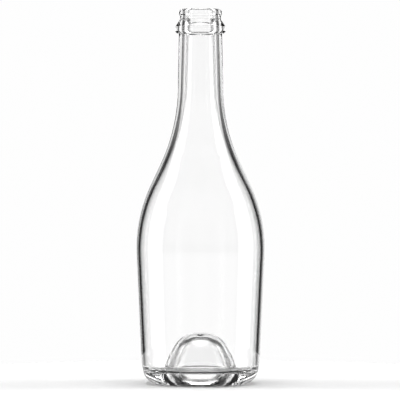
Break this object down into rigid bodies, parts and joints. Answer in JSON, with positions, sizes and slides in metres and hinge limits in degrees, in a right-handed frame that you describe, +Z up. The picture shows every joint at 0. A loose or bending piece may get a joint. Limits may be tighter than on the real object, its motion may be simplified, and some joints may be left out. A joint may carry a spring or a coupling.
{
  "type": "glass bottle",
  "caption": "Clear glass bottle for sparkling drinks, with a crown cap finish, a collar, a long neck, sloping shoulders, a tapering body and a deep punt; empty and uncapped.",
  "frame": {"origin": "centre of the ring that the bottle stands on", "axes": "+Z up the bottle's axis, towards its mouth; it is round, so X and Y are free"},
  "size_m": [0.0866, 0.0866, 0.2517],
  "materials": {
    "clear_glass": "polished"
  },
  "bodies": {
    "root": {"glass_bottle": "clear_glass"}
  },
  "joints": []
}
